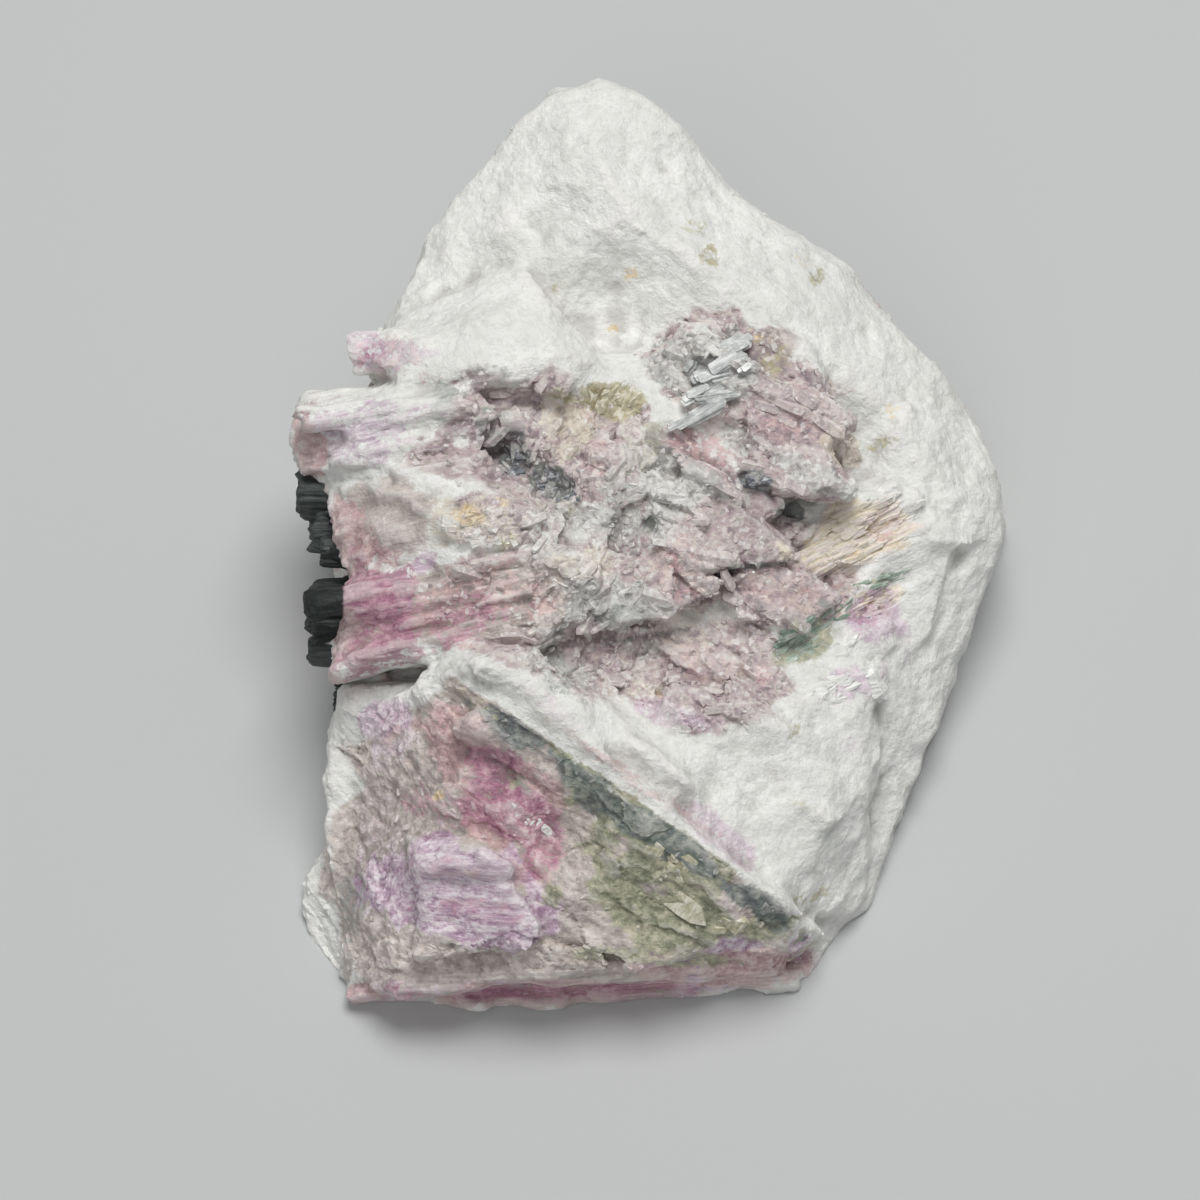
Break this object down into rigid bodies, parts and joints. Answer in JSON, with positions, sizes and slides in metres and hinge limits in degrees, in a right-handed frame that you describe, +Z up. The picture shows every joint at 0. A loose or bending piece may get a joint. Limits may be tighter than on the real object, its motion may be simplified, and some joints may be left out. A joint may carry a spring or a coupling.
{
  "type": "mineral specimen",
  "caption": "Hand-sized natural mineral specimen: white albite rock with pink and green tourmaline prisms, lilac mica and black tourmaline stubs, lying on its flat underside.",
  "frame": {"origin": "bottom centre of the bounding box, on the table the specimen lies on", "axes": "+Z up from the flat underside; +Y from the watermelon coloured break at the front to the white peak at the back; +X to the right as the show face is seen"},
  "size_m": [0.0805, 0.1026, 0.0408],
  "materials": {
    "stone": "rough broken rock, white albite with lilac, pink, green and black crystals"
  },
  "bodies": {
    "root": {"tourmaline_specimen": "stone"}
  },
  "joints": []
}
